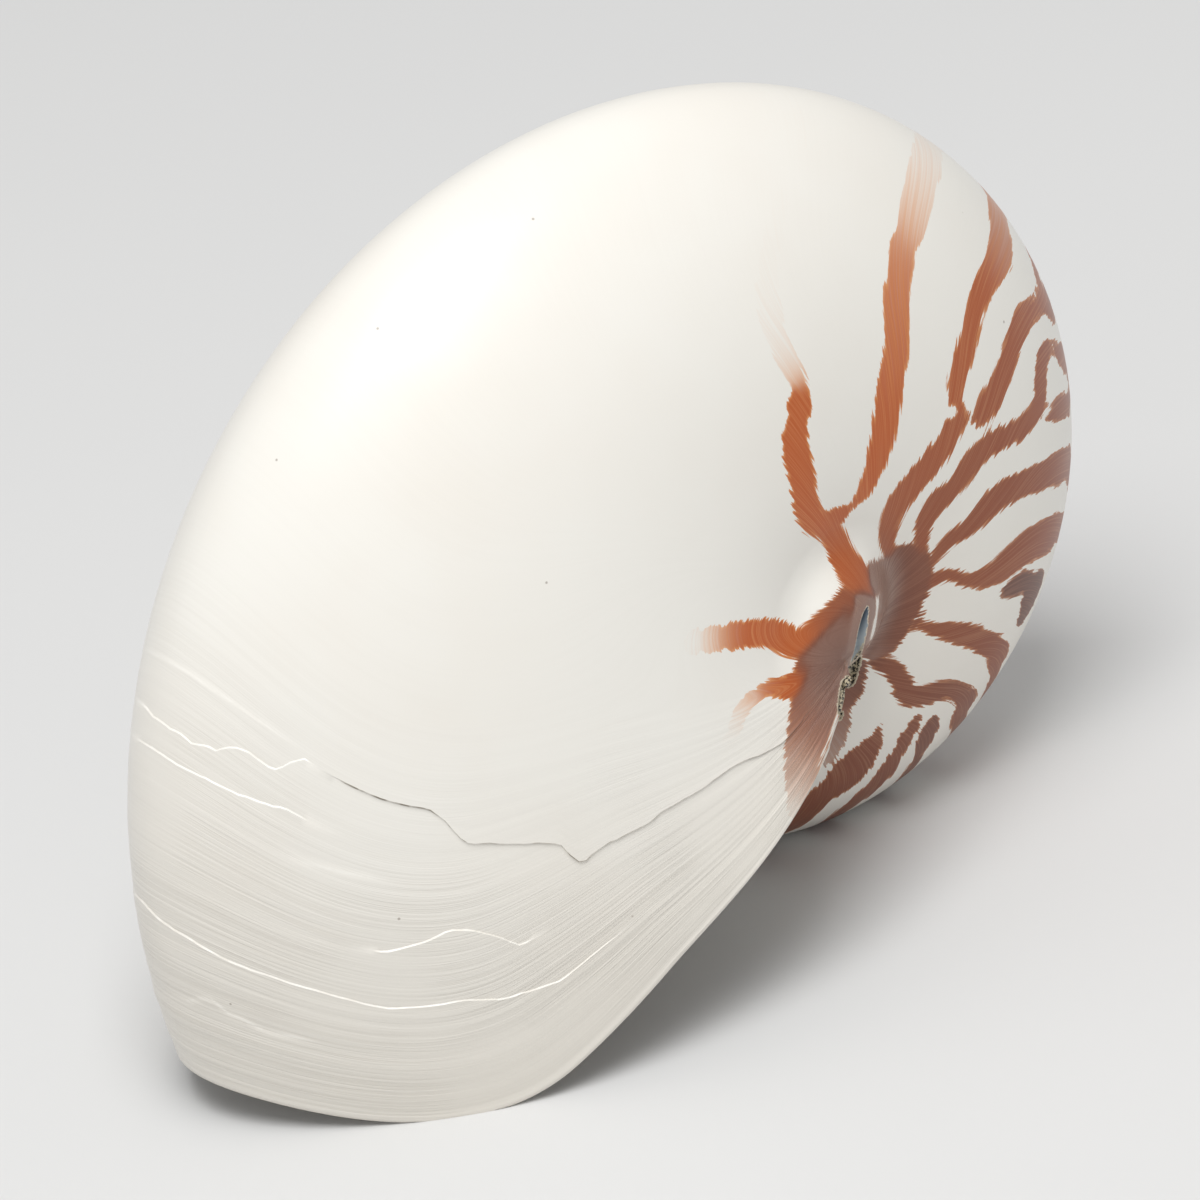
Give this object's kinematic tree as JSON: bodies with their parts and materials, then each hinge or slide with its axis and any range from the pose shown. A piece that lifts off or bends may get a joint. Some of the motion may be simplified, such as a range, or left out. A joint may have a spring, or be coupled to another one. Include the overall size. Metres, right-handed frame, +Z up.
{
  "type": "nautilus shell",
  "caption": "Empty nautilus shell: a flat spiral sea shell with striped coil and open body chamber, resting on its rim as a display piece or prop.",
  "frame": {"origin": "under the middle of the shell, on the surface that it rests on", "axes": "+Z up, +X from the lip's side towards the coil's side, +Y along the spiral axis, with the pictured flank on the -Y side"},
  "size_m": [0.1507, 0.078, 0.1139],
  "materials": {
    "shell": "satin"
  },
  "bodies": {
    "root": {"nautilus_shell": "shell"}
  },
  "joints": []
}
